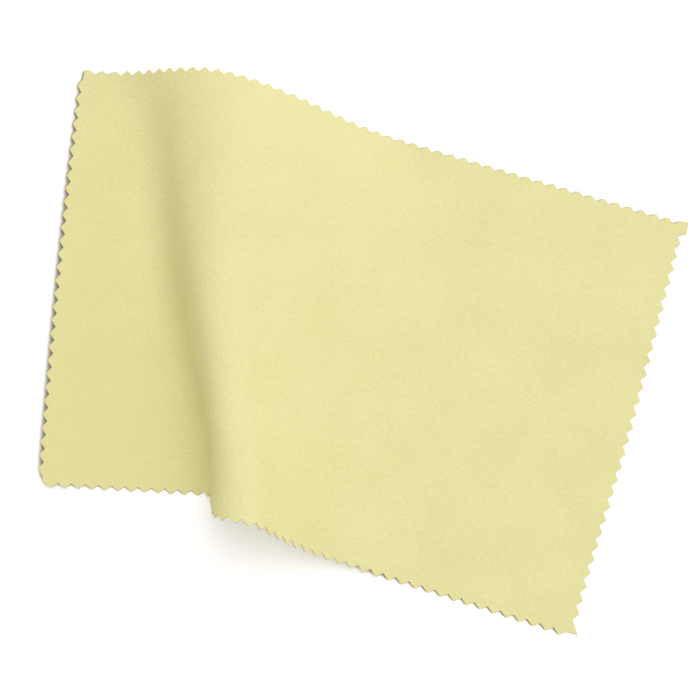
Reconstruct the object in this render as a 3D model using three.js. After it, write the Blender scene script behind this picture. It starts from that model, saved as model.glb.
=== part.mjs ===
// A flannel polishing cloth, cut with zigzag shears on all four sides and laid on a table
// with one raised fold that runs across it, low at the far edge and tall at the near edge.
// Lengths are millimetres and angles are degrees. +Z is up, and the cloth lies on z = 0.
//
// The cloth is described flat first. Along it (u) runs from the left edge to the right edge,
// and down it (v) runs from the far edge to the near edge. Then every thread that runs along
// the cloth is bent through the fold, without being stretched, and the flat places follow it.

import * as THREE from "three";

// The flat cut, measured over the tips of the teeth
const CUT_LENGTH = 197;
const CUT_WIDTH = 129.5;
const THICKNESS = 0.8;

// The underside is pressed flat on the table wherever it would stand off it by less than this
const RESTING_DEPTH = 0.5;

// The zigzag: its depth, how far the two right corners stand past the tips of the right side
// and of the far side, and for each side, going round from the far left corner, how many tips
// it has and the room that is left before its first tip and after its last one, in teeth. The
// far right corner is a blunt lobe, whose shoulder lies down the right side.
const TOOTH_DEPTH = 1.6;
const CORNER_EAR = 0.9;
const CORNER_RISE = 0.3;
const FAR_TIPS = { count: 49, startShare: 0.84, endShare: 0.35 };
const RIGHT_TIPS = { count: 29, startShare: 1.64, endShare: 1.79, shoulderShare: 0.78 };
const NEAR_TIPS = { count: 48, startShare: 1.05, endShare: 1.03 };
const LEFT_TIPS = { count: 30, startShare: 1.29, endShare: 1.23 };
const SHORTEST_FLANK_SHARE = 0.25;

// The fold. Each value is given at the far edge and at the near edge of the cloth. Some bow
// away from an even change in between, by so much halfway, and some sway away from it, by so
// much near either edge and by nothing halfway. A place is measured along the cloth from its
// left edge to the middle of a bend, and a width is the length of cloth that takes part in
// that bend.
const LEFT_FOOT_PLACE = { far: 16.9, near: 51.2, bow: 1, sway: 3 };
const LEFT_FOOT_WIDTH = { far: 25.4, near: 10.2 };
const LEFT_SLOPE = { farAngle: 48, nearAngle: 83.6, swayAngle: 3.4 };
const CREST_PLACE = { far: 46.2, near: 83.7, bow: -1.2, sway: 1.8 };
const CREST_WIDTH = { far: 84.3, near: 25.4, bow: -28 };
const RIGHT_SLOPE = { farAngle: 36.9, nearAngle: 59.2, bowAngle: -15 };
const RIGHT_FOOT_WIDTH = { far: 35.1, near: 55.8, bow: 20.5 };

// The fold is a wedge, so it turns the right part of the cloth in plan, and its lines
// lean away from the short threads of the cloth by the lean angle
const LEFT_HEADING_ANGLE = 3.04;
const FOLD_TURN_ANGLE = 14.34;
const FOLD_TURN_WIDTH = 25.1;
const LEFT_LEAN = { farAngle: 13.6, nearAngle: 17 };
const RIGHT_LEAN = { farAngle: 58.9, nearAngle: 21.1, bowAngle: -3.9 };

// The left edge: its heading, how far it bows out, and how its near end stands off the table
const LEFT_EDGE_ANGLE = 4.08;
const LEFT_EDGE_BOW = 0.83;
const EDGE_LIFT = { farAngle: 0, nearAngle: 10 };
const EDGE_LIFT_WIDTH = 24;

// How finely the cloth is divided. Its pane lines run from a tooth of the far edge to a tooth
// of the near edge, close together where the cloth bends: the flat part left of the fold, its
// left side and crest, its long right side and the flat part right of it, each with the teeth
// that it takes of either edge.
const PANE_GROUPS = [
  { paneCount: 3, farToothCount: 3, nearToothCount: 11 },
  { paneCount: 14, farToothCount: 21, nearToothCount: 14 },
  { paneCount: 5, farToothCount: 5, nearToothCount: 15 },
  { paneCount: 4, farToothCount: 20, nearToothCount: 8 },
];
const ROW_COUNT = 12;
const THREAD_STEPS = 240;
const FOOT_SEARCH_STEPS = 30;

const NAP_COLOUR = 0xe6dfa6;
const NAP_ROUGHNESS = 0.95;

// A length that goes from the far edge to the near edge
function between({ far, near, bow = 0, sway = 0 }, share) {
  const inside = 4 * share * (1 - share);
  const swaying = 4 * inside * (1 - 2 * share) ** 2;
  return THREE.MathUtils.lerp(far, near, share) + bow * inside + sway * swaying;
}

// An angle that goes from the far edge to the near edge, in radians
function angleBetween({ farAngle, nearAngle, bowAngle = 0, swayAngle = 0 }, share) {
  const ends = { far: farAngle, near: nearAngle, bow: bowAngle, sway: swayAngle };
  return THREE.MathUtils.degToRad(between(ends, share));
}

// The part of a bend that is done at a place along the thread, from 0 to 1
function bendDone(place, middle, width) {
  return THREE.MathUtils.smoothstep(place, middle - width / 2, middle + width / 2);
}

// The slope of a thread at a place, in radians, when the right foot of the fold lies at rightFoot
function slopeAt(place, share, rightFoot) {
  const rise = angleBetween(LEFT_SLOPE, share);
  const fall = angleBetween(RIGHT_SLOPE, share);
  const lift = angleBetween(EDGE_LIFT, share);
  const settled = bendDone(place, EDGE_LIFT_WIDTH / 2, EDGE_LIFT_WIDTH);
  const raised = bendDone(place, between(LEFT_FOOT_PLACE, share), between(LEFT_FOOT_WIDTH, share));
  const tipped = bendDone(place, between(CREST_PLACE, share), between(CREST_WIDTH, share));
  const landed = bendDone(place, rightFoot, between(RIGHT_FOOT_WIDTH, share));
  return lift * (settled - 1) + rise * raised - (rise + fall) * tipped + fall * landed;
}

// How far the lines of the fold lean at a place, in radians. The left side has a lean of its
// own and so has the right side, and it goes from one to the other over the crest.
function leanAt(place, share) {
  const tipped = bendDone(place, between(CREST_PLACE, share), between(CREST_WIDTH, share));
  return THREE.MathUtils.lerp(angleBetween(LEFT_LEAN, share), angleBetween(RIGHT_LEAN, share), tipped);
}

// The two directions that the cloth follows at a place: the way the thread runs, and the way
// out of the cloth's upper face. The thread crosses the lines of the fold at a lean, so it keeps
// a steady part along them while the rest of it climbs and comes down.
function directionsAt(place, share, rightFoot) {
  const slope = slopeAt(place, share, rightFoot);
  const turned = bendDone(place, between(CREST_PLACE, share), FOLD_TURN_WIDTH);
  const lean = leanAt(place, share);
  const heading = -THREE.MathUtils.degToRad(LEFT_HEADING_ANGLE + FOLD_TURN_ANGLE * turned);
  const across = new THREE.Vector3(Math.cos(heading + lean), Math.sin(heading + lean), 0);
  const foldLine = new THREE.Vector3(across.y, -across.x, 0);
  const upright = new THREE.Vector3(0, 0, 1);
  const profile = across.clone().multiplyScalar(Math.cos(slope)).addScaledVector(upright, Math.sin(slope));
  const thread = foldLine.clone().multiplyScalar(Math.sin(lean)).addScaledVector(profile, Math.cos(lean));
  const outward = upright.clone().multiplyScalar(Math.cos(slope)).addScaledVector(across, -Math.sin(slope));
  return { thread, outward };
}

// How high a thread stands at its right end over its lowest point before the crest, which is
// where it rests on the table, when the right foot of the fold lies at rightFoot
function heightLeft(share, rightFoot) {
  const step = CUT_LENGTH / THREAD_STEPS;
  const crest = between(CREST_PLACE, share);
  let height = 0;
  let lowest = 0;
  for (let place = step / 2; place < CUT_LENGTH; place += step) {
    height += step * Math.cos(leanAt(place, share)) * Math.sin(slopeAt(place, share, rightFoot));
    lowest = place < crest ? Math.min(lowest, height) : lowest;
  }
  return { height: height - lowest, lowest };
}

// Finds where the right foot lies, so that the thread comes down to the table again
function findRightFoot(share) {
  let tooNear = between(CREST_PLACE, share);
  let tooFar = tooNear + CUT_LENGTH;
  for (let count = 0; count < FOOT_SEARCH_STEPS; count += 1) {
    const middle = (tooNear + tooFar) / 2;
    if (heightLeft(share, middle).height > 0) {
      tooNear = middle;
    } else {
      tooFar = middle;
    }
  }
  return tooNear;
}

// Follows one thread from the left edge to the right edge, and notes where it has got to
function followThread(share, rightFoot) {
  const step = CUT_LENGTH / THREAD_STEPS;
  const points = [new THREE.Vector3(0, 0, -heightLeft(share, rightFoot).lowest)];
  for (let index = 0; index < THREAD_STEPS; index += 1) {
    const { thread } = directionsAt((index + 1 / 2) * step, share, rightFoot);
    points.push(points[index].clone().addScaledVector(thread, step));
  }
  return points;
}

// Where the left edge of the cloth runs on the table
function leftEdgeAt(down) {
  const share = down / CUT_WIDTH;
  const angle = THREE.MathUtils.degToRad(LEFT_EDGE_ANGLE);
  const bow = 4 * LEFT_EDGE_BOW * share * (1 - share);
  const x = -down * Math.sin(angle) - bow * Math.cos(angle);
  const y = -down * Math.cos(angle) + bow * Math.sin(angle);
  return new THREE.Vector3(x, y, 0);
}

// Threads that were followed already, by how far down the cloth they lie
const followed = new Map();

function threadAt(down) {
  if (!followed.has(down)) {
    const share = down / CUT_WIDTH;
    const rightFoot = findRightFoot(share);
    followed.set(down, { share, rightFoot, points: followThread(share, rightFoot) });
  }
  return followed.get(down);
}

// Lays one place of the flat cut: its point on the upper face and its point on the underside
function layPlace(place) {
  const { share, rightFoot, points } = threadAt(place.y);
  const reach = (place.x / CUT_LENGTH) * THREAD_STEPS;
  const index = THREE.MathUtils.clamp(Math.floor(reach), 0, THREAD_STEPS - 1);
  const middle = points[index].clone().lerp(points[index + 1], reach - index).add(leftEdgeAt(place.y));
  middle.z += THICKNESS / 2;
  const { outward } = directionsAt(place.x, share, rightFoot);
  const upper = middle.clone().addScaledVector(outward, THICKNESS / 2);
  const under = middle.clone().addScaledVector(outward, -THICKNESS / 2);
  under.z = under.z < RESTING_DEPTH ? 0 : under.z;
  return { upper, under };
}

// One side of the cut: its places, from its first corner to the one before its last corner, and
// the numbers of those where a pane line may end, which are the first corner and the roots
// between two teeth. The tips lie on a line, and inward points from it into the cloth. The
// shoulder of a blunt first corner stands as far out as the corner does.
function cutSide(lineStart, lineEnd, tips, cornerStart, cornerEnd) {
  const ahead = lineEnd.clone().sub(lineStart).normalize();
  const inward = new THREE.Vector2(-ahead.y, ahead.x);
  const pitch = lineStart.distanceTo(lineEnd) / (tips.startShare + tips.count - 1 + tips.endShare);
  const places = [cornerStart];
  const paneEnds = [0];
  if (tips.shoulderShare > 0) {
    const shoulder = lineStart.clone().addScaledVector(ahead, tips.shoulderShare * pitch);
    places.push(shoulder.addScaledVector(inward, -CORNER_EAR));
  }
  for (let half = -1; half < 2 * tips.count; half += 1) {
    const isRoot = half % 2 !== 0;
    const place = lineStart.clone().addScaledVector(ahead, (tips.startShare + half / 2) * pitch);
    place.addScaledVector(inward, isRoot ? TOOTH_DEPTH : 0);
    const fromStart = place.clone().sub(cornerStart).dot(ahead);
    const fromEnd = cornerEnd.clone().sub(place).dot(ahead);
    if (Math.min(fromStart, fromEnd) > SHORTEST_FLANK_SHARE * pitch) {
      if (isRoot && half > 0 && half < 2 * tips.count - 1) {
        paneEnds.push(places.length);
      }
      places.push(place);
    }
  }
  return { places, paneEnds };
}

// The four sides of the flat cut, going round from the far left corner
function cutSides() {
  const farLeft = new THREE.Vector2(0, 0);
  const farRight = new THREE.Vector2(CUT_LENGTH, 0);
  const nearRight = new THREE.Vector2(CUT_LENGTH, CUT_WIDTH);
  const nearLeft = new THREE.Vector2(0, CUT_WIDTH);
  const farLeftCorner = new THREE.Vector2(TOOTH_DEPTH, 0);
  const farRightCorner = new THREE.Vector2(CUT_LENGTH + CORNER_EAR, -CORNER_RISE);
  const nearRightCorner = new THREE.Vector2(CUT_LENGTH + CORNER_EAR, CUT_WIDTH - TOOTH_DEPTH);
  const nearLeftCorner = new THREE.Vector2(TOOTH_DEPTH, CUT_WIDTH - TOOTH_DEPTH);
  return [
    cutSide(farLeft, farRight, FAR_TIPS, farLeftCorner, farRightCorner),
    cutSide(farRight, nearRight, RIGHT_TIPS, farRightCorner, nearRightCorner),
    cutSide(nearRight, nearLeft, NEAR_TIPS, nearRightCorner, nearLeftCorner),
    cutSide(nearLeft, farLeft, LEFT_TIPS, nearLeftCorner, farLeftCorner),
  ];
}

// The tooth of the far edge and of the near edge where each pane line ends, in order
function paneTeeth() {
  const lines = [{ far: 0, near: 0 }];
  for (const group of PANE_GROUPS) {
    const start = lines[lines.length - 1];
    for (let pane = 1; pane <= group.paneCount; pane += 1) {
      const far = start.far + Math.round((pane / group.paneCount) * group.farToothCount);
      const near = start.near + Math.round((pane / group.paneCount) * group.nearToothCount);
      lines.push({ far, near });
    }
  }
  return lines;
}

// The flat cut divided into panes: all its places, how many of them lie round the outline, and
// the triangles that fill it. The places round the outline come first.
function divideCut() {
  const places = [];
  const [farEnds, rightEnds, nearEnds, leftEnds] = cutSides().map((side) => {
    const first = places.length;
    places.push(...side.places);
    return side.paneEnds.map((end) => first + end);
  });
  const outlineCount = places.length;
  farEnds.push(rightEnds[0]);
  rightEnds.push(nearEnds[0]);
  nearEnds.push(leftEnds[0]);
  leftEnds.push(0);
  nearEnds.reverse();
  leftEnds.reverse();

  const lines = paneTeeth();
  const lastLine = lines.length - 1;
  const knots = lines.map(({ far, near }, line) => {
    const column = [farEnds[far]];
    for (let row = 1; row < ROW_COUNT; row += 1) {
      const share = row / ROW_COUNT;
      const leftEnd = leftEnds[Math.round(share * (leftEnds.length - 1))];
      const rightEnd = rightEnds[Math.round(share * (rightEnds.length - 1))];
      if (line === 0 || line === lastLine) {
        column.push(line === 0 ? leftEnd : rightEnd);
      } else {
        const along = THREE.MathUtils.lerp(places[farEnds[far]].x, places[nearEnds[near]].x, share);
        const down = THREE.MathUtils.lerp(places[leftEnd].y, places[rightEnd].y, along / CUT_LENGTH);
        column.push(places.push(new THREE.Vector2(along, down)) - 1);
      }
    }
    column.push(nearEnds[near]);
    return column;
  });

  // The places from one knot to the next, with those of the outline between them
  const stretch = (start, end, onOutline) => {
    const run = [start];
    while (onOutline && (run[run.length - 1] + 1) % outlineCount !== end) {
      run.push((run[run.length - 1] + 1) % outlineCount);
    }
    return run;
  };

  const triangles = [];
  for (let line = 0; line < lastLine; line += 1) {
    for (let row = 0; row < ROW_COUNT; row += 1) {
      const farLeft = knots[line][row];
      const farRight = knots[line + 1][row];
      const nearRight = knots[line + 1][row + 1];
      const nearLeft = knots[line][row + 1];
      const pane = [
        ...stretch(farLeft, farRight, row === 0),
        ...stretch(farRight, nearRight, line + 1 === lastLine),
        ...stretch(nearRight, nearLeft, row + 1 === ROW_COUNT),
        ...stretch(nearLeft, farLeft, line === 0),
      ];
      const contour = pane.map((number) => places[number].clone());
      for (const corners of THREE.ShapeUtils.triangulateShape(contour, [])) {
        const turnsDown = THREE.ShapeUtils.isClockWise(corners.map((corner) => contour[corner]));
        const [first, second, third] = corners.map((corner) => pane[corner]);
        triangles.push(turnsDown ? [first, second, third] : [first, third, second]);
      }
    }
  }
  return { places, outlineCount, triangles };
}

// The cloth as one closed body: its upper face, its underside and the cut edge between them
function clothGeometry() {
  const { places, outlineCount, triangles } = divideCut();
  const laid = places.map(layPlace);
  const points = [...laid.map(({ upper }) => upper), ...laid.map(({ under }) => under)];
  const indices = [];
  for (const [first, second, third] of triangles) {
    indices.push(first, second, third);
    indices.push(third + places.length, second + places.length, first + places.length);
  }
  for (let number = 0; number < outlineCount; number += 1) {
    const next = (number + 1) % outlineCount;
    indices.push(number, next, next + places.length);
    indices.push(number, next + places.length, number + places.length);
  }
  const geometry = new THREE.BufferGeometry().setFromPoints(points);
  geometry.setIndex(indices);
  geometry.computeVertexNormals();
  return geometry;
}

// The part's own frame has its origin on the table, below the middle of the laid cloth
function centreOnTable(geometry) {
  geometry.computeBoundingBox();
  const middle = geometry.boundingBox.getCenter(new THREE.Vector3());
  geometry.translate(-middle.x, -middle.y, -geometry.boundingBox.min.z);
  return geometry;
}

const nap = new THREE.MeshStandardMaterial({ color: NAP_COLOUR, roughness: NAP_ROUGHNESS, metalness: 0 });
const cloth = new THREE.Mesh(centreOnTable(clothGeometry()), nap);
cloth.name = "flannel_cloth";

const part = new THREE.Group();
part.add(cloth);

export default part;
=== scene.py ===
"""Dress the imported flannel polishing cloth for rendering.

The cloth is one sheet of pale yellow brushed cotton flannel. It is cut with zigzag shears on all
four sides and lies on a table with one raised fold across it, low at the far edge and tall at
the near edge. It is described flat first: along it from the left edge to the right edge, and
down it from the far edge to the near edge. Then every thread that runs along it is bent through
the fold without being stretched. Lengths are metres, and angles in the data are degrees.
"""

import logging
import math
import random
from dataclasses import dataclass, field
from enum import Enum
from typing import ClassVar

import bmesh
import bpy
import numpy as np
from mathutils import Matrix, Vector, noise


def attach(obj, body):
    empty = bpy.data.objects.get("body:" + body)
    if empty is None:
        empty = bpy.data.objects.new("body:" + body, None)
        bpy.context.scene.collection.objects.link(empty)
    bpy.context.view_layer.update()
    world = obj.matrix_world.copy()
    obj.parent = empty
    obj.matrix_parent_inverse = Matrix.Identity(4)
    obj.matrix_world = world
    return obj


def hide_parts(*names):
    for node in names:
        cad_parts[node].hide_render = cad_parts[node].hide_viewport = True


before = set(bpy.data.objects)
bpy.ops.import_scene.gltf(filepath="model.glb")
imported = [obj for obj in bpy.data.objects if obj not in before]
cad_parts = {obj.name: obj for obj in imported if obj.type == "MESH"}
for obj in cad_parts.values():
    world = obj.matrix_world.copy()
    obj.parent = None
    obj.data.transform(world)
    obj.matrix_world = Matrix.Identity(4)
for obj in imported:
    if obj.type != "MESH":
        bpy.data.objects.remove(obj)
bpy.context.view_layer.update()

LOG = logging.getLogger("polishing_cloth")
CLOTH_NODE = "flannel_cloth"
BODY = "root"
UV_SPAN = 0.2
WHITE = (1.0, 1.0, 1.0, 1.0)
Feed = bpy.types.NodeSocket | float | tuple[float, ...]


def bend_done(place: np.ndarray, middle: np.ndarray, width: np.ndarray) -> np.ndarray:
    """Give the part of a bend that is done at a place, from 0 to 1.

    Args:
        place: How far along the cloth the place lies.
        middle: Where the middle of the bend lies.
        width: The length of cloth that takes part in the bend.

    Returns:
        A smooth step that is 0 before the bend and 1 after it.
    """
    share = np.clip((place - middle) / width + 0.5, 0, 1)
    return share * share * (3 - 2 * share)


def add_object(name: str, data: bpy.types.ID) -> bpy.types.Object:
    """Make an object at the origin and put it in the scene.

    Args:
        name: The object's name.
        data: Its mesh, curve, light or camera.

    Returns:
        The object.
    """
    added = bpy.data.objects.new(name, data)
    bpy.context.scene.collection.objects.link(added)
    return added


def add_shape(name: str, shape: bmesh.types.BMesh) -> bpy.types.Object:
    """Turn a finished shape into an object in the scene, and free the shape.

    Args:
        name: The name of the object and of its mesh.
        shape: The shape.

    Returns:
        The object.
    """
    mesh = bpy.data.meshes.new(name)
    shape.to_mesh(mesh)
    shape.free()
    return add_object(name, mesh)


class Side(Enum):
    """The four sides of the cut, going round from the far left corner."""

    FAR = "far"
    RIGHT = "right"
    NEAR = "near"
    LEFT = "left"


class Knot(Enum):
    """What stands at a bend of the cut's outline."""

    CORNER = "corner"
    TIP = "tip"
    ROOT = "root"


class Face(Enum):
    """The two faces of the cloth, each with the seed of its nap."""

    UPPER = 0
    UNDER = 30


@dataclass(frozen=True)
class Grain:
    """A noise on the cloth: the size of its grains, and how many finer layers it has."""

    size: float
    detail: float


@dataclass(frozen=True)
class Ends:
    """A value at the far and the near edge of the cloth, and how it leaves the even change.

    It bows away by so much halfway, and sways away by so much near either edge and by nothing
    halfway.
    """

    far: float
    near: float
    bow: float = 0.0
    sway: float = 0.0

    def at(self, share: np.ndarray) -> np.ndarray:
        """Give the value at a place between the two edges.

        Args:
            share: The share of the way from the far edge to the near one.

        Returns:
            The value there.
        """
        even = self.far + (self.near - self.far) * share
        inside = 4 * share * (1 - share)
        return even + self.bow * inside + 4 * self.sway * inside * (1 - 2 * share) ** 2

    def angle(self, share: np.ndarray) -> np.ndarray:
        """Give the value as an angle in radians at a share of the way."""
        return np.radians(self.at(share))


@dataclass(frozen=True)
class PinkedSide:
    """One side's teeth: how many, and the room before the first and after the last, in teeth.

    A blunt first corner has a shoulder so many teeth along the side.
    """

    tip_count: int
    start_share: float
    end_share: float
    corner_shoulder: float | None = None


@dataclass(frozen=True)
class PinkedCut:
    """The flat cut of the cloth, measured over the tips of its teeth."""

    length: float = 0.197
    width: float = 0.1295
    tooth_depth: float = 0.0016
    corner_ear: float = 0.0009
    corner_rise: float = 0.0003
    blunting: float = 0.00006
    shoulder_share: float = 0.22
    shortest_flank_share: float = 0.25
    far: PinkedSide = PinkedSide(49, 0.84, 0.35)
    right: PinkedSide = PinkedSide(29, 1.64, 1.79, 0.78)
    near: PinkedSide = PinkedSide(48, 1.05, 1.03)
    left: PinkedSide = PinkedSide(30, 1.29, 1.23)

    def ends_of(self, side: Side) -> np.ndarray:
        """Give the two ends of a side's tip line, and then its two corners.

        Args:
            side: The side of the cut.

        Returns:
            Four flat places, in the direction that goes round from the far left corner.
        """
        length, width, depth, ear = self.length, self.width, self.tooth_depth, self.corner_ear
        lines = [(0, 0), (length, 0), (length, width), (0, width)]
        corners = [
            (depth, 0),
            (length + ear, -self.corner_rise),
            (length + ear, width - depth),
            (depth, width - depth),
        ]
        first = list(Side).index(side)
        following = (first + 1) % len(lines)
        return np.array([lines[first], lines[following], corners[first], corners[following]])

    def knots(self, side: Side) -> tuple[list[np.ndarray], list[Knot]]:
        """Give the bends of a side's outline, from its first corner to its last one.

        Args:
            side: The side of the cut.

        Returns:
            The flat places of the bends, and what stands at each.
        """
        teeth: PinkedSide = getattr(self, side.value)
        line_start, line_end, corner_start, corner_end = self.ends_of(side)
        reach = float(np.linalg.norm(line_end - line_start))
        ahead = (line_end - line_start) / reach
        inward = np.array([-ahead[1], ahead[0]])
        pitch = reach / (teeth.start_share + teeth.tip_count - 1 + teeth.end_share)
        places, kinds = [corner_start], [Knot.CORNER]
        if teeth.corner_shoulder is not None:
            shoulder = line_start + ahead * teeth.corner_shoulder * pitch
            places.append(shoulder - inward * self.corner_ear)
            kinds.append(Knot.CORNER)
        for half in range(-1, 2 * teeth.tip_count):
            kind = Knot.ROOT if half % 2 else Knot.TIP
            place = line_start + ahead * (teeth.start_share + half / 2) * pitch
            place = place + inward * (self.tooth_depth if kind is Knot.ROOT else 0)
            room = min((place - corner_start) @ ahead, (corner_end - place) @ ahead)
            if room > self.shortest_flank_share * pitch:
                places.append(place)
                kinds.append(kind)
        return [*places, corner_end], [*kinds, Knot.CORNER]

    def flank_shares(self, start: Knot, end: Knot, steps: int) -> list[float]:
        """Give where a flank between two bends is divided, with short steps beside its tip.

        Args:
            start: What stands at the flank's start.
            end: What stands at its end.
            steps: How many steps the flank has.

        Returns:
            The shares of the way at which the steps start.
        """
        if Knot.CORNER in (start, end) or steps not in (2, 3):
            return [step / steps for step in range(steps)]
        if steps == 3:
            return [0, self.shoulder_share, 1 - self.shoulder_share]
        return [0, self.shoulder_share if start is Knot.TIP else 1 - self.shoulder_share]

    def stations(self, side: Side, flank_count: int, steps: int) -> np.ndarray:
        """Give the places of the mesh's outline points along one side.

        Args:
            side: The side of the cut.
            flank_count: The number of flanks that the opposite side has too. Where this side has
                fewer, the last one counts double, and then the first one too.
            steps: How many steps a flank has.

        Returns:
            The flat places from the side's first corner to its last one, with blunt tips.
        """
        places, kinds = self.knots(side)
        missing = flank_count - len(places) + 1
        last_doubled = len(places) - 1 - (missing + 1) // 2
        stations = []
        line_start, line_end = self.ends_of(side)[:2]
        ahead = (line_end - line_start) / np.linalg.norm(line_end - line_start)
        inward = np.array([-ahead[1], ahead[0]])
        for number, (start, end) in enumerate(zip(places, places[1:])):
            doubled = number < missing // 2 or number >= last_doubled
            count = steps * 2 if doubled else steps
            for share in self.flank_shares(kinds[number], kinds[number + 1], count):
                place = start + (end - start) * share
                if share == 0 and kinds[number] is not Knot.CORNER:
                    blunting = self.blunting * (1 if kinds[number] is Knot.TIP else -1)
                    place = place + inward * blunting
                stations.append(place)
        stations.append(places[-1])
        return np.array(stations)

    def outline(self) -> np.ndarray:
        """Give the bends of the whole outline, going round from the far left corner."""
        return np.concatenate([self.knots(side)[0][:-1] for side in Side])

    def area(self) -> float:
        """Work out the flat area of the cut inside its zigzag outline.

        Returns:
            The area in square metres.
        """
        along, down = self.outline().T
        next_along, next_down = np.roll(along, -1), np.roll(down, -1)
        return float(abs(np.sum(along * next_down - next_along * down)) / 2)


@dataclass(frozen=True)
class RaisedFold:
    """The bends that raise the fold, each given at the far edge and at the near edge."""

    left_foot_place: Ends = Ends(0.0169, 0.0512, 0.001, 0.003)
    left_foot_width: Ends = Ends(0.0254, 0.0102)
    left_slope: Ends = Ends(48, 83.6, 0, 3.4)
    crest_place: Ends = Ends(0.0462, 0.0837, -0.0012, 0.0018)
    crest_width: Ends = Ends(0.0843, 0.0254, -0.028)
    right_slope: Ends = Ends(36.9, 59.2, -15)
    right_foot_width: Ends = Ends(0.0351, 0.0558, 0.0205)
    left_heading: float = 3.04
    turn: float = 14.34
    turn_width: float = 0.0251
    left_lean: Ends = Ends(13.6, 17)
    right_lean: Ends = Ends(58.9, 21.1, -3.9)
    edge_angle: float = 4.08
    edge_bow: float = 0.00083
    edge_lift: Ends = Ends(0, 10)
    edge_lift_width: float = 0.024

    def slope(self, place: np.ndarray, share: np.ndarray, right_foot: np.ndarray) -> np.ndarray:
        """Give the slope of a thread.

        Args:
            place: How far along the cloth.
            share: The share of the way from the far edge to the near one.
            right_foot: Where the fold's right foot lies on that thread.

        Returns:
            The slope in radians, positive where the thread climbs to the right.
        """
        rise = self.left_slope.angle(share)
        fall = self.right_slope.angle(share)
        lift = self.edge_lift.angle(share)
        settled = bend_done(place, self.edge_lift_width / 2, self.edge_lift_width)
        raised = bend_done(place, self.left_foot_place.at(share), self.left_foot_width.at(share))
        tipped = bend_done(place, self.crest_place.at(share), self.crest_width.at(share))
        landed = bend_done(place, right_foot, self.right_foot_width.at(share))
        return lift * (settled - 1) + rise * raised - (rise + fall) * tipped + fall * landed

    def lean(self, place: np.ndarray, share: np.ndarray) -> np.ndarray:
        """Give how far the fold's lines lean away from the short threads, in radians.

        Args:
            place: How far along the cloth.
            share: The share of the way from the far edge to the near one.

        Returns:
            The lean, which goes from the left side's to the right side's over the crest.
        """
        left, right = self.left_lean.angle(share), self.right_lean.angle(share)
        tipped = bend_done(place, self.crest_place.at(share), self.crest_width.at(share))
        return left + (right - left) * tipped

    def directions(
        self, place: np.ndarray, share: np.ndarray, right_foot: np.ndarray
    ) -> tuple[np.ndarray, np.ndarray]:
        """Give the way that a thread runs and the way out of the cloth's upper face.

        Args:
            place: How far along the cloth.
            share: The share of the way from the far edge to the near one.
            right_foot: Where the fold's right foot lies on that thread.

        Returns:
            Two arrays of unit vectors.
        """
        slope = self.slope(place, share, right_foot)
        turned = bend_done(place, self.crest_place.at(share), self.turn_width)
        lean = self.lean(place, share)
        bearing = lean - np.radians(self.left_heading + self.turn * turned)
        level = np.zeros_like(bearing)
        across = np.stack([np.cos(bearing), np.sin(bearing), level], axis=-1)
        fold_line = np.stack([np.sin(bearing), -np.cos(bearing), level], axis=-1)
        upright = np.array([0.0, 0.0, 1.0])
        cosine, sine = np.cos(slope)[..., None], np.sin(slope)[..., None]
        profile = across * cosine + upright * sine
        outward = upright * cosine - across * sine
        thread = fold_line * np.sin(lean)[..., None] + profile * np.cos(lean)[..., None]
        return thread, outward

    def left_edge(self, share: np.ndarray, width: float) -> np.ndarray:
        """Give where the left edge runs on the table.

        Args:
            share: The share of the way from the far edge to the near one.
            width: The width of the flat cut.

        Returns:
            Points on the table.
        """
        angle = math.radians(self.edge_angle)
        bow = 4 * self.edge_bow * share * (1 - share)
        across = -share * width * math.sin(angle) - bow * math.cos(angle)
        down = -share * width * math.cos(angle) + bow * math.sin(angle)
        return np.stack([across, down, np.zeros_like(share)], axis=-1)


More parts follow.
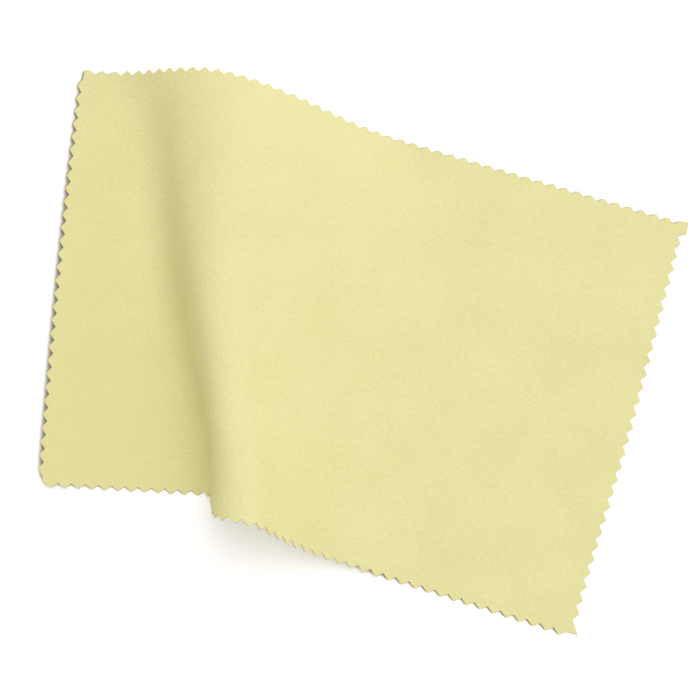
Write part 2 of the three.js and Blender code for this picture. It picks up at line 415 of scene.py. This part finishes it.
class LaidThreads:
    """The threads of the cloth, followed through the fold on a fine lattice."""

    SHARE_STEPS = 260
    OVERRUN = 0.01
    STEP = 0.0005
    SEARCH_STEPS = 32

    def __init__(self, cut: PinkedCut, fold: RaisedFold) -> None:
        """Follow the threads of a cut through a fold.

        Args:
            cut: The flat cut.
            fold: The bends of the fold.
        """
        self.cut = cut
        self.fold = fold
        self.shares = np.linspace(-self.OVERRUN, 1 + self.OVERRUN, self.SHARE_STEPS + 1)
        self.places = (np.arange(round(cut.length / self.STEP)) + 0.5) * self.STEP
        self.right_feet, lowest = self._find_right_feet()
        grid = np.meshgrid(self.places, self.shares)
        ahead, _ = fold.directions(grid[0], grid[1], self.right_feet[:, None])
        start = np.zeros((len(self.shares), 1, 3))
        start[:, 0, 2] = -lowest
        self.points = np.concatenate([start, start + np.cumsum(ahead * self.STEP, axis=1)], axis=1)

    def _heights(self, right_feet: np.ndarray) -> tuple[np.ndarray, np.ndarray]:
        """Give the height left at the right end of each thread, and its lowest point.

        Args:
            right_feet: Where the fold's right foot lies on each thread.

        Returns:
            How far each right end stands over the lowest point before the crest, and that point.
        """
        shares = self.shares[:, None]
        slopes = self.fold.slope(self.places[None, :], shares, right_feet[:, None])
        leans = self.fold.lean(self.places[None, :], shares)
        climbs = np.cumsum(np.cos(leans) * np.sin(slopes), axis=1) * self.STEP
        before_crest = self.places[None, :] < self.fold.crest_place.at(shares)
        lowest = np.minimum(np.where(before_crest, climbs, 0).min(axis=1), 0)
        return climbs[:, -1] - lowest, lowest

    def _find_right_feet(self) -> tuple[np.ndarray, np.ndarray]:
        """Find where the right foot lies on each thread, so that it comes down to the table.

        Returns:
            The right foot's place on each thread, and the thread's lowest point before the crest.
        """
        too_near = self.fold.crest_place.at(self.shares)
        too_far = too_near + self.cut.length
        for _ in range(self.SEARCH_STEPS):
            middle = (too_near + too_far) / 2
            high = self._heights(middle)[0] > 0
            too_near = np.where(high, middle, too_near)
            too_far = np.where(high, too_far, middle)
        return too_near, self._heights(too_near)[1]

    def lay(self, flat: np.ndarray) -> tuple[np.ndarray, np.ndarray]:
        """Lay flat places of the cut in the fold.

        Args:
            flat: The places, along and down the cloth, one per row.

        Returns:
            The points in the middle of the cloth's thickness, lying at the table's height where
            the cloth rests, and the ways out of its upper face.
        """
        share = flat[:, 1] / self.cut.width
        reach = flat[:, 0] / self.STEP
        row = (share + self.OVERRUN) / (1 + 2 * self.OVERRUN) * self.SHARE_STEPS
        columns = np.clip(np.floor(reach).astype(int), 0, self.points.shape[1] - 2)
        rows = np.clip(np.floor(row).astype(int), 0, self.SHARE_STEPS - 1)
        along, down = (reach - columns)[:, None], (row - rows)[:, None]
        upper, lower = (
            self.points[line, columns] * (1 - along) + self.points[line, columns + 1] * along
            for line in (rows, rows + 1)
        )
        middle = upper * (1 - down) + lower * down + self.fold.left_edge(share, self.cut.width)
        right_feet = np.interp(share, self.shares, self.right_feet)
        return middle, self.fold.directions(flat[:, 0], share, right_feet)[1]


class Shading:
    """A node tree that is filled one node at a time."""

    FIRST_COLOUR = 6
    SECOND_COLOUR = 7

    def __init__(self, owner: bpy.types.Material | bpy.types.World) -> None:
        """Start with an empty tree.

        Args:
            owner: The material or the world that the tree is for.
        """
        owner.use_nodes = True
        self.tree = owner.node_tree
        self.tree.nodes.clear()

    def add(
        self, kind: str, sockets: dict[str | int, Feed] | None = None, **settings: str
    ) -> bpy.types.Node:
        """Add a node.

        Args:
            kind: The node's type.
            sockets: Input sockets by name or number, each with a value or an output to link.
            settings: The node's own settings.

        Returns:
            The new node.
        """
        node = self.tree.nodes.new(kind)
        for name, value in settings.items():
            setattr(node, name, value)
        for name, value in (sockets or {}).items():
            if isinstance(value, bpy.types.NodeSocket):
                self.tree.links.new(value, node.inputs[name])
            else:
                node.inputs[name].default_value = value
        return node

    def math(self, operation: str, first: Feed, second: Feed) -> bpy.types.NodeSocket:
        """Add a Math node and give its result."""
        return self.add("ShaderNodeMath", {0: first, 1: second}, operation=operation).outputs[0]

    def spread(self, value: bpy.types.NodeSocket, low: float, high: float) -> bpy.types.NodeSocket:
        """Spread the values from low to high over 0 to 1, and give the result."""
        sockets = {"Value": value, "From Min": low, "From Max": high}
        return self.add("ShaderNodeMapRange", sockets).outputs["Result"]

    def total(self, *parts: tuple[bpy.types.NodeSocket, float]) -> bpy.types.NodeSocket:
        """Add up outputs.

        Args:
            parts: The outputs, each with its weight.

        Returns:
            The weighted sum.
        """
        weighted = [self.math("MULTIPLY", value, weight) for value, weight in parts]
        whole = weighted[0]
        for part in weighted[1:]:
            whole = self.math("ADD", whole, part)
        return whole

    def blend(self, share: Feed, first: Feed, second: Feed) -> bpy.types.NodeSocket:
        """Add a mix of two colours, from the first at 0 to the second at 1, and give it."""
        sockets = {"Factor": share, self.FIRST_COLOUR: first, self.SECOND_COLOUR: second}
        return self.add("ShaderNodeMix", sockets, data_type="RGBA").outputs[2]

    def sight(self) -> bpy.types.NodeSocket:
        """Tell the rays that show a surface from those that only light one.

        Returns:
            1 for a ray from the camera, a mirror or glass, and 0 for any other.
        """
        path = self.add("ShaderNodeLightPath").outputs
        seen = self.math("MAXIMUM", path["Is Camera Ray"], path["Is Glossy Ray"])
        return self.math("MAXIMUM", seen, path["Is Transmission Ray"])

    def grain(self, place: bpy.types.NodeSocket, grain: Grain) -> bpy.types.NodeSocket:
        """Add noise on the cloth's own coordinates.

        Args:
            place: The output that gives the coordinates.
            grain: How coarse and how detailed the noise is.

        Returns:
            The noise, from 0 to 1.
        """
        sockets = {"Vector": place, "Scale": UV_SPAN / grain.size, "Detail": grain.detail}
        return self.add("ShaderNodeTexNoise", sockets).outputs[0]


@dataclass(frozen=True)
class FlannelFinish:
    """Brushed cotton flannel: a soft nap over a fine weave, with its small unevenness.

    Each speck has a cell as wide as speck_room, and speck_radii are shares of that. A wave turns
    by WAVE_RADIANS along one unit at a scale of 1. Painted shade darkens the tone left of the
    fold, and most at the near left corner.
    """

    WAVE_RADIANS: ClassVar[float] = 20

    pale: tuple[float, float, float, float] = (0.887, 0.844, 0.433, 1)
    # the deep end of the tone's random change, and also the colour that the painted shade goes to
    deep_tone_and_shade: tuple[float, float, float, float] = (0.827, 0.773, 0.373, 1)
    speck: tuple[float, float, float, float] = (0.62, 0.56, 0.30, 1)
    blotches: Grain = Grain(0.018, 3)
    mottle: Grain = Grain(0.0013, 2)
    nap: Grain = Grain(0.00042, 3)
    brushing_radians: float = 0.9
    brushing_stretch: float = 0.45
    yarn_pitch: float = 0.00062
    weave_distortion: float = 1.5
    weave_detail: float = 1.0
    speck_room: float = 0.012
    speck_radii: tuple[float, float] = (0.012, 0.04)
    speck_strength: float = 0.35
    speck_rarity: float = 0.72
    blotch_tone: float = 0.3
    mottle_tone: float = 0.35
    nap_tone: float = 0.35
    tone_range: tuple[float, float] = (0.36, 0.64)
    # painted shade: how far the tone darkens left of the fold and at the near left corner, and
    # where
    left_painted_shade: float = 0.3
    left_shade_reach: tuple[float, float] = (0.035, 0.06)
    corner_painted_shade: float = 0.55
    corner_shade_reach: tuple[float, float] = (0.0, 0.042)
    corner_start: tuple[float, float] = (0.06, 0.105)
    roughness: float = 0.95
    roughness_spread: float = 0.08
    gloss: float = 0.12
    sheen: float = 0.12
    sheen_roughness: float = 0.45
    sheen_tint: tuple[float, float, float, float] = (1, 0.98, 0.85, 1)
    nap_depth: float = 0.0002
    nap_relief: float = 0.7
    mottle_relief: float = 0.8
    weave_relief: float = 0.14
    relief_strength: float = 0.9

    def material(self) -> bpy.types.Material:
        """Make the material.

        Returns:
            The flannel material, whose pattern follows a piece's own coordinates.
        """
        material = bpy.data.materials.new("yellow_flannel_nap")
        nodes = Shading(material)
        place = nodes.add("ShaderNodeTexCoord").outputs["UV"]
        turn, stretch = (0, 0, self.brushing_radians), (1, self.brushing_stretch, 1)
        sockets = {"Vector": place, "Rotation": turn, "Scale": stretch}
        brushed = nodes.add("ShaderNodeMapping", sockets).outputs[0]
        blotches = nodes.grain(place, self.blotches)
        mottle = nodes.grain(place, self.mottle)
        nap = nodes.grain(brushed, self.nap)
        weave = self._weave(nodes, place)

        tone = nodes.total(
            (blotches, self.blotch_tone), (mottle, self.mottle_tone), (nap, self.nap_tone)
        )
        tone = nodes.spread(tone, *self.tone_range)
        # painted shade: the tone is pushed towards the deep colour left of the fold and at the
        # near left corner
        tone = nodes.math("SUBTRACT", tone, self._painted_shade(nodes, place))
        colour = nodes.blend(tone, self.deep_tone_and_shade, self.pale)
        colour = nodes.blend(self._specks(nodes, place), colour, self.speck)

        height = nodes.total(
            (nap, self.nap_relief), (mottle, self.mottle_relief), (weave, self.weave_relief)
        )
        sockets = {"Height": height, "Distance": self.nap_depth, "Strength": self.relief_strength}
        bump = nodes.add("ShaderNodeBump", sockets)
        smoothest = self.roughness - self.roughness_spread / 2
        roughness = nodes.math("MULTIPLY", nap, self.roughness_spread)
        roughness = nodes.math("ADD", roughness, smoothest)
        shader = nodes.add(
            "ShaderNodeBsdfPrincipled",
            {
                "Base Color": colour,
                "Roughness": roughness,
                "Normal": bump.outputs[0],
                "Specular IOR Level": self.gloss,
                "Sheen Weight": self.sheen,
                "Sheen Roughness": self.sheen_roughness,
                "Sheen Tint": self.sheen_tint,
            },
        )
        nodes.add("ShaderNodeOutputMaterial", {"Surface": shader.outputs[0]})
        return material

    def _painted_shade(self, nodes: Shading, place: bpy.types.NodeSocket) -> bpy.types.NodeSocket:
        """Add the painted shade left of the fold, which is strongest at the near left corner.

        Args:
            nodes: The material's nodes.
            place: The cloth's own coordinates.

        Returns:
            How much painted shade lies at a place.
        """
        parts = nodes.add("ShaderNodeSeparateXYZ", {0: place}).outputs
        along, down = (nodes.math("MULTIPLY", parts[axis], UV_SPAN) for axis in (0, 1))
        left = nodes.spread(along, *reversed(self.left_shade_reach))
        corner = nodes.spread(along, *reversed(self.corner_shade_reach))
        corner = nodes.math("MULTIPLY", corner, nodes.spread(down, *self.corner_start))
        return nodes.total((left, self.left_painted_shade), (corner, self.corner_painted_shade))

    def _weave(self, nodes: Shading, place: bpy.types.NodeSocket) -> bpy.types.NodeSocket:
        """Add the plain weave that shows a little through the nap.

        Args:
            nodes: The material's nodes.
            place: The cloth's own coordinates.

        Returns:
            The weave's height, from 0 to 1.
        """
        sockets = {
            "Vector": place,
            "Scale": 2 * math.pi / (self.WAVE_RADIANS * self.yarn_pitch / UV_SPAN),
            "Distortion": self.weave_distortion,
            "Detail": self.weave_detail,
        }
        bands = [
            nodes.add("ShaderNodeTexWave", sockets, bands_direction=direction).outputs[1]
            for direction in ("X", "Y")
        ]
        return nodes.math("MULTIPLY", bands[0], bands[1])

    def _specks(self, nodes: Shading, place: bpy.types.NodeSocket) -> bpy.types.NodeSocket:
        """Add a few tiny darker specks of lint.

        Args:
            nodes: The material's nodes.
            place: The cloth's own coordinates.

        Returns:
            How much of a speck lies at a place.
        """
        sockets = {"Vector": place, "Scale": UV_SPAN / self.speck_room}
        cells = nodes.add("ShaderNodeTexVoronoi", sockets)
        sockets = {
            "Value": cells.outputs["Distance"],
            "From Min": self.speck_radii[0],
            "From Max": self.speck_radii[1],
            "To Min": self.speck_strength,
            "To Max": 0.0,
        }
        near = nodes.add("ShaderNodeMapRange", sockets).outputs["Result"]
        chosen = nodes.math("GREATER_THAN", cells.outputs["Color"], self.speck_rarity)
        return nodes.math("MULTIPLY", near, chosen)


@dataclass
class FlannelCloth:
    """The cloth: one sheet with a napped face on both sides and a pinked edge all round."""

    cut: PinkedCut = field(default_factory=PinkedCut)
    fold: RaisedFold = field(default_factory=RaisedFold)
    thickness: float = 0.0008
    resting_depth: float = 0.0005
    column_steps: int = 3
    row_steps: int = 2
    zigzag_reach: float = 0.008
    rim_bulge: float = 0.0001
    rim_rings: tuple[float, ...] = (0.00008, 0.00012)
    rim_shares: tuple[float, ...] = (0.5, 0.86)
    nap_height: float = 0.00004
    nap_grain: float = 0.0016
    tuft_height_share: float = 1.2
    tuft_detail_share: float = 0.3
    tuft_seed: float = 7
    origin: np.ndarray = field(default_factory=lambda: np.zeros(3))

    def __post_init__(self) -> None:
        """Follow the cloth's threads through the fold."""
        self.threads = LaidThreads(self.cut, self.fold)

    def flat_places(self) -> np.ndarray:
        """Divide the flat cut into a lattice whose outline follows the teeth.

        Returns:
            The flat place of each lattice point, by column and row.
        """
        flanks = {side: len(self.cut.knots(side)[0]) - 1 for side in Side}
        across = max(flanks[Side.FAR], flanks[Side.NEAR])
        down = max(flanks[Side.LEFT], flanks[Side.RIGHT])
        far = self.cut.stations(Side.FAR, across, self.column_steps)
        right = self.cut.stations(Side.RIGHT, down, self.row_steps)
        near = self.cut.stations(Side.NEAR, across, self.column_steps)[::-1]
        left = self.cut.stations(Side.LEFT, down, self.row_steps)[::-1]
        along = np.linspace(0, 1, len(far))[:, None, None]
        downward = np.linspace(0, 1, len(left))[None, :, None]
        lattice = (far[0] * (1 - along) + far[-1] * along) * (1 - downward)
        lattice = lattice + (near[0] * (1 - along) + near[-1] * along) * downward
        pulls = [
            ((left - lattice[0])[None], along * self.cut.length),
            ((right - lattice[-1])[None], (1 - along) * self.cut.length),
            ((far - lattice[:, 0])[:, None], downward * self.cut.width),
            ((near - lattice[:, -1])[:, None], (1 - downward) * self.cut.width),
        ]
        for pull, distance in pulls:
            lattice = lattice + pull * self._fade(distance)
        return lattice

    def _fade(self, distance: np.ndarray) -> np.ndarray:
        """Give how much the lattice still follows the teeth at a distance from a side."""
        return np.clip(1 - (distance / self.zigzag_reach) ** 2, 0, 1) ** 2

    def _nap(self, flat: np.ndarray, face: Face) -> np.ndarray:
        """Give the small unevenness of the nap, with its wider tufts.

        Args:
            flat: Flat places, one per row.
            face: The face of the cloth that it is for.

        Returns:
            Heights over the even face.
        """
        fine, coarse, seed = 1 / self.nap_grain, self.tuft_detail_share, face.value
        tuft_seed = seed + self.tuft_seed
        heights = [
            noise.noise(Vector((x * fine, y * fine, seed)))
            + self.tuft_height_share
            * noise.noise(Vector((x * fine * coarse, y * fine * coarse, tuft_seed)))
            for x, y in flat
        ]
        return np.array(heights) * self.nap_height

    def _settle(self, height: np.ndarray) -> np.ndarray:
        """Press the underside flat where it would stand off the table by next to nothing.

        Args:
            height: The heights of the underside's points.

        Returns:
            The heights after pressing.
        """
        share = np.clip(height / self.resting_depth - 0.5, 0, 1)
        return np.where(share < 1, share * height, height)

    def _cut_out(self) -> bmesh.types.BMesh:
        """Make the flat cut as one layer of faces, with narrow rings along its edge.

        Returns:
            The mesh, which lies across the XY plane with the far edge at the top.
        """
        lattice = self.flat_places()
        columns, rows = lattice.shape[:2]
        sheet = bmesh.new()
        bmesh.ops.create_grid(sheet, x_segments=columns - 1, y_segments=rows - 1, size=1)
        for vertex in sheet.verts:
            column = round((vertex.co.x + 1) / 2 * (columns - 1))
            row = round((1 - vertex.co.y) / 2 * (rows - 1))
            along, down = lattice[column, row]
            vertex.co = (along, -down, 0)
        inner = sheet.faces[:]
        for width in self.rim_rings:
            bmesh.ops.inset_region(
                sheet, faces=inner, thickness=width, use_boundary=True, use_even_offset=True
            )
        return sheet

    def _rim_share(self, sheet: bmesh.types.BMesh) -> dict[bmesh.types.BMVert, float]:
        """Give how thick the cloth is at its outline and at the first ring inside it.

        Args:
            sheet: The flat cut.

        Returns:
            The share of the full thickness that those points have.
        """
        outline = {vertex for vertex in sheet.verts if vertex.is_boundary}
        beside = {edge.other_vert(vertex) for vertex in outline for edge in vertex.link_edges}
        shares = dict.fromkeys(beside, self.rim_shares[1])
        return shares | dict.fromkeys(outline, self.rim_shares[0])

    def _middle(self, flat: np.ndarray) -> tuple[np.ndarray, np.ndarray]:
        """Give the middle of the laid cloth's thickness.

        Args:
            flat: The flat places, one per row.

        Returns:
            The points, and the ways out of the cloth's upper face.
        """
        middle, outward = self.threads.lay(flat)
        return middle + np.array([0, 0, self.thickness / 2]), outward

    def _thicken(self, flat: np.ndarray, share: np.ndarray) -> tuple[np.ndarray, np.ndarray]:
        """Lay flat places in the fold and give the cloth its thickness there.

        Args:
            flat: The flat places, one per row.
            share: The share of the full thickness that the cloth has at each.

        Returns:
            The points of the upper face and those of the underside.
        """
        middle, outward = self._middle(flat)
        even = share * self.thickness / 2
        lift = even + self._nap(flat, Face.UPPER) * (share == 1)
        drop = even + self._nap(flat, Face.UNDER) * (share == 1)
        under = middle - outward * drop[:, None]
        under[:, 2] = self._settle(under[:, 2])
        return middle + outward * lift[:, None], under

    def point(self, flat: np.ndarray, height: np.ndarray) -> np.ndarray:
        """Give points over the middle of the laid cloth's thickness.

        Args:
            flat: The flat places, one per row. They may lie a little outside the cut.
            height: How far the points stand out of the cloth's middle.

        Returns:
            The points, in the part's own frame.
        """
        middle, outward = self._middle(flat)
        return middle + outward * height[:, None] - self.origin

    def build(self) -> bpy.types.Object:
        """Make the cloth's mesh and object.

        Returns:
            The cloth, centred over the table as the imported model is.
        """
        sheet = self._cut_out()
        rim = self._rim_share(sheet)
        station = sheet.verts.layers.int.new("station")
        for number, vertex in enumerate(sheet.verts):
            vertex[station] = number
        flat = np.array([(vertex.co.x, -vertex.co.y) for vertex in sheet.verts])
        share = np.array([rim.get(vertex, 1.0) for vertex in sheet.verts])
        upper, under = self._thicken(flat, share)
        everything = np.concatenate([upper, under])
        low, high = everything.min(axis=0), everything.max(axis=0)
        self.origin = np.array([(low[0] + high[0]) / 2, (low[1] + high[1]) / 2, low[2]])

        extruded = bmesh.ops.extrude_face_region(sheet, geom=sheet.faces[:])
        raised = {part for part in extruded["geom"] if isinstance(part, bmesh.types.BMVert)}
        for vertex in sheet.verts:
            face = upper if vertex in raised else under
            vertex.co = Vector(face[vertex[station]] - self.origin)
        risers = [
            edge for edge in sheet.edges if (edge.verts[0] in raised) != (edge.verts[1] in raised)
        ]
        split = bmesh.ops.subdivide_edges(sheet, edges=risers, cuts=1)
        bmesh.ops.recalc_face_normals(sheet, faces=sheet.faces[:])
        sheet.normal_update()
        for vertex in split["geom_inner"]:
            if isinstance(vertex, bmesh.types.BMVert):
                vertex.co += vertex.normal * self.rim_bulge
        layer = sheet.loops.layers.uv.new("cloth")
        for face in sheet.faces:
            face.smooth = True
            for loop in face.loops:
                loop[layer].uv = flat[loop.vert[station]] / UV_SPAN
        return add_shape("flannel_sheet", sheet)


class Strands:
    """Thin round strands that are gathered in one curve, and then made one mesh."""

    THICKEST = 0.001
    MERGE_REACH = 1e-7

    def __init__(self, name: str, roundness: int) -> None:
        """Start without strands.

        Args:
            name: The name of the finished piece.
            roundness: How finely the strands are rounded, where 0 gives four sides.
        """
        self.name = name
        self.curve = bpy.data.curves.new(name, "CURVE")
        self.curve.dimensions = "3D"
        self.curve.bevel_depth = self.THICKEST
        self.curve.bevel_resolution = roundness
        self.curve.use_fill_caps = True

    def add(self, points: np.ndarray, radii: np.ndarray) -> None:
        """Add a strand.

        Args:
            points: The points that it runs through, one per row.
            radii: Its radius at each.
        """
        spline = self.curve.splines.new("POLY")
        spline.points.add(len(points) - 1)
        for knot, point, radius in zip(spline.points, points, radii):
            knot.co = (*point, 1)
            knot.radius = radius / self.THICKEST

    def build(self) -> bpy.types.Object:
        """Make the mesh.

        Returns:
            The piece, with the pattern laid along each strand.
        """
        drawn = add_object(self.name + "_route", self.curve)
        mesh = bpy.data.meshes.new_from_object(
            drawn.evaluated_get(bpy.context.evaluated_depsgraph_get())
        )
        tubes = bmesh.new()
        tubes.from_mesh(mesh)
        bpy.data.objects.remove(drawn)
        bpy.data.meshes.remove(mesh)
        bmesh.ops.remove_doubles(tubes, verts=tubes.verts[:], dist=self.MERGE_REACH)
        bmesh.ops.recalc_face_normals(tubes, faces=tubes.faces[:])
        for face in tubes.faces:
            face.smooth = True
        return add_shape(self.name, tubes)


@dataclass(frozen=True)
class FrayedEdge:
    """What the cut has let go: one loose yarn at the near right corner, and short fibres.

    A fibre's drift, curl, swing and rise are shares of its reach, and its base is a share of half
    the cloth's thickness.
    """

    yarn_bends: tuple[tuple[float, float, float], ...] = (
        (0.1972, 0.12735, 0.0001),
        (0.1979, 0.1279, 0.0001),
        (0.1985, 0.1284, -0.0002),
        (0.19819, 0.1291, -0.00029),
    )
    yarn_radii: tuple[float, float] = (0.00011, 0.00006)
    yarn_points: int = 16
    yarn_roundness: int = 2
    fibre_count: int = 900
    fibre_reach: tuple[float, float] = (0.0003, 0.0009)
    fibre_root: float = 0.0003
    fibre_drift: float = 0.8
    fibre_curl: float = 0.7
    fibre_swing: float = 0.6
    fibre_rise: tuple[float, float] = (-0.3, 0.5)
    fibre_base: tuple[float, float] = (-0.5, 0.6)
    fibre_bend_shares: tuple[float, float] = (0.3, 0.7)
    fibre_radius: float = 0.00002
    fibre_end_share: float = 0.5
    fibre_points: int = 4
    fibre_roundness: int = 0
    seed: int = 5

    def _bend(self, bends: np.ndarray, count: int) -> np.ndarray:
        """Divide the smooth curve that four bends pull on.

        Args:
            bends: The curve's start, the two bends that pull on it, and its end.
            count: How many points are wanted.

        Returns:
            The points, one per row.
        """
        share = np.linspace(0, 1, count)[:, None]
        start, first, second, end = bends
        return (
            start * (1 - share) ** 3
            + first * 3 * share * (1 - share) ** 2
            + second * 3 * share**2 * (1 - share)
            + end * share**3
        )

    def loose_yarn(self, cloth: FlannelCloth) -> bpy.types.Object:
        """Make the yarn that has come loose at the near right corner.

        Args:
            cloth: The cloth that it hangs from.

        Returns:
            The yarn.
        """
        route = self._bend(np.array(self.yarn_bends), self.yarn_points)
        strands = Strands("loose_yarn", self.yarn_roundness)
        points = cloth.point(route[:, :2], route[:, 2])
        strands.add(points, np.linspace(*self.yarn_radii, len(route)))
        return strands.build()

    def edge_lint(self, cloth: FlannelCloth) -> bpy.types.Object:
        """Make the short fibres that stand out of the cut edge all round.

        Args:
            cloth: The cloth whose edge it is.

        Returns:
            All the fibres as one piece.
        """
        dice = random.Random(self.seed)
        outline = cloth.cut.outline()
        strides = np.roll(outline, -1, axis=0) - outline
        lengths = np.linalg.norm(strides, axis=1)
        strands = Strands("edge_lint", self.fibre_roundness)
        first, second = self.fibre_bend_shares
        for _ in range(self.fibre_count):
            flank = dice.choices(range(len(outline)), weights=lengths)[0]
            ahead = strides[flank] / lengths[flank]
            outward = np.array([ahead[1], -ahead[0]])
            root = outline[flank] + strides[flank] * dice.random()
            reach = dice.uniform(*self.fibre_reach)
            drift = dice.uniform(-self.fibre_drift, self.fibre_drift)
            curl = dice.uniform(-self.fibre_curl, self.fibre_curl)
            rise = dice.uniform(*self.fibre_rise)
            base = dice.uniform(*self.fibre_base) * cloth.thickness / 2
            swing = (drift + curl) * self.fibre_swing
            bends = [
                (*(root - outward * self.fibre_root), base),
                (*(root + (outward * first + ahead * drift * first) * reach), base),
                (*(root + (outward * second + ahead * swing) * reach), base),
                (*(root + (outward + ahead * (drift - curl)) * reach), base + rise * reach),
            ]
            route = self._bend(np.array(bends), self.fibre_points)
            points = cloth.point(route[:, :2], route[:, 2])
            points[:, 2] = np.maximum(points[:, 2], self.fibre_radius)
            taper = np.linspace(1, self.fibre_end_share, len(points))
            strands.add(points, taper * self.fibre_radius)
        return strands.build()


@dataclass(frozen=True)
class TableFinish:
    """The plain white table, which shows as white wherever light falls on it."""

    colour: tuple[float, float, float, float] = (0.93, 0.93, 0.93, 1)
    shade: tuple[float, float, float, float] = (0.42, 0.37, 0.31, 1)
    glow: float = 0.33
    contact_reach: float = 0.006
    contact_lean: float = 60
    contact_turn: float = -15
    contact_range: tuple[float, float] = (0.55, 0.7)

    def material(self) -> bpy.types.Material:
        """Make the material, which deepens the shadow where the cloth's left edge touches.

        Returns:
            The table's material.
        """
        material = bpy.data.materials.new("white_table")
        nodes = Shading(material)
        lean, turn = math.radians(self.contact_lean), math.radians(self.contact_turn)
        level = math.sin(lean)
        sockets = {0: level * math.cos(turn), 1: level * math.sin(turn), 2: math.cos(lean)}
        towards = nodes.add("ShaderNodeCombineXYZ", sockets).outputs[0]
        sockets = {"Distance": self.contact_reach, "Normal": towards}
        contact = nodes.add("ShaderNodeAmbientOcclusion", sockets)
        clear = nodes.spread(contact.outputs["AO"], *self.contact_range)
        colour = nodes.blend(clear, self.shade, self.colour)
        diffuse = nodes.add("ShaderNodeBsdfDiffuse", {"Color": colour})
        seen = nodes.math("MULTIPLY", nodes.sight(), clear)
        sockets = {"Color": WHITE, "Strength": nodes.math("MULTIPLY", seen, self.glow)}
        glow = nodes.add("ShaderNodeEmission", sockets)
        both = nodes.add("ShaderNodeAddShader", {0: diffuse.outputs[0], 1: glow.outputs[0]})
        nodes.add("ShaderNodeOutputMaterial", {"Surface": both.outputs[0]})
        return material


@dataclass(frozen=True)
class Softbox:
    """The large square lamp that faces the cloth.

    Its share is the light that it would give to the table if it were small, where 1 shows a
    white surface as white.
    """

    azimuth: float = 54
    elevation: float = 60
    distance: float = 3.0
    span: float = 2.6
    share: float = 0.49
    colour: tuple[float, float, float] = (0.935, 1.0, 1.13)

    def build(self) -> None:
        """Hang the lamp."""
        azimuth, elevation = math.radians(self.azimuth), math.radians(self.elevation)
        level = math.cos(elevation)
        height = math.sin(elevation)
        toward = Vector((math.cos(azimuth) * level, math.sin(azimuth) * level, height))
        light = bpy.data.lights.new("key_softbox", "AREA")
        light.shape = "SQUARE"
        light.size = self.span
        light.color = self.colour
        light.energy = self.share * (math.pi * self.distance) ** 2 / height
        lamp = add_object("key_softbox", light)
        lamp.location = toward * self.distance
        lamp.rotation_euler = toward.to_track_quat("Z", "Y").to_euler()


@dataclass(frozen=True)
class Studio:
    """The table, a large cool softbox and the even, warmer light of the room."""

    table_span: float = 1.6
    table_squares: int = 4
    table_drop: float = 0.00005
    room_light: float = 0.55
    room_colour: tuple[float, float, float, float] = (1.06, 1.0, 0.88, 1)

    def build(self) -> bpy.types.Object:
        """Make the table and the lights.

        Returns:
            The table.
        """
        top, squares = bmesh.new(), self.table_squares
        bmesh.ops.create_grid(
            top, x_segments=squares, y_segments=squares, size=self.table_span / 2
        )
        bmesh.ops.translate(top, verts=top.verts[:], vec=(0, 0, -self.table_drop))
        table = add_shape("table_top", top)
        table.data.materials.append(TableFinish().material())
        self._light_room()
        Softbox().build()
        return table

    def _light_room(self) -> None:
        """Fill the room with even, slightly warm light, and show its walls as white."""
        world = bpy.data.worlds.new("white_room")
        nodes = Shading(world)
        sockets = {"Color": self.room_colour, "Strength": self.room_light}
        light = nodes.add("ShaderNodeBackground", sockets)
        backdrop = nodes.add("ShaderNodeBackground", {"Color": WHITE, "Strength": 1.0})
        sockets = {0: nodes.sight(), 1: light.outputs[0], 2: backdrop.outputs[0]}
        both = nodes.add("ShaderNodeMixShader", sockets)
        nodes.add("ShaderNodeOutputWorld", {"Surface": both.outputs[0]})
        bpy.context.scene.world = world


@dataclass(frozen=True)
class CameraView:
    """The photograph's view, from nearly straight above."""

    position: tuple[float, float, float] = (0.00930, -0.04781, 0.38960)
    tilt: float = 6.70
    roll_tilt: float = 2.04
    focal_length: float = 66.857
    sensor_width: float = 36.0
    nearest_shown: float = 0.01

    def build(self) -> None:
        """Make the camera and set it as the scene's own."""
        tilt, roll = math.radians(self.tilt), math.radians(self.roll_tilt)
        right = Vector((math.cos(roll), 0, -math.sin(roll)))
        up = Vector(
            (math.sin(tilt) * math.sin(roll), math.cos(tilt), math.sin(tilt) * math.cos(roll))
        )
        back = right.cross(up)
        turn = Matrix((right, up, back)).transposed()
        camera = bpy.data.cameras.new("photo_view")
        camera.sensor_width = self.sensor_width
        camera.lens = self.focal_length
        camera.clip_start = self.nearest_shown
        stand = add_object("photo_view", camera)
        stand.matrix_world = Matrix.Translation(self.position) @ turn.to_4x4()
        bpy.context.scene.camera = stand


def main() -> None:
    """Build the camera, the cloth and the studio in order, and report each piece."""
    logging.basicConfig(level=logging.INFO, format="%(message)s", force=True)
    bpy.context.scene.view_settings.view_transform = "Standard"
    CameraView().build()

    cloth = FlannelCloth()
    sheet = cloth.build()
    edge = FrayedEdge()
    frayed = [edge.loose_yarn(cloth), edge.edge_lint(cloth)]
    flannel = FlannelFinish().material()
    for piece in (sheet, *frayed):
        piece.data.materials.append(flannel)
        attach(piece, BODY)
        LOG.info("%s: %d faces", piece.name, len(piece.data.polygons))
    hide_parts(CLOTH_NODE)
    area = cloth.cut.area()
    LOG.info("%s: centre %s, flat area %.6f", sheet.name, cloth.origin, area)

    table = Studio().build()
    LOG.info("%s: ready", table.name)


if __name__ == "__main__":
    main()
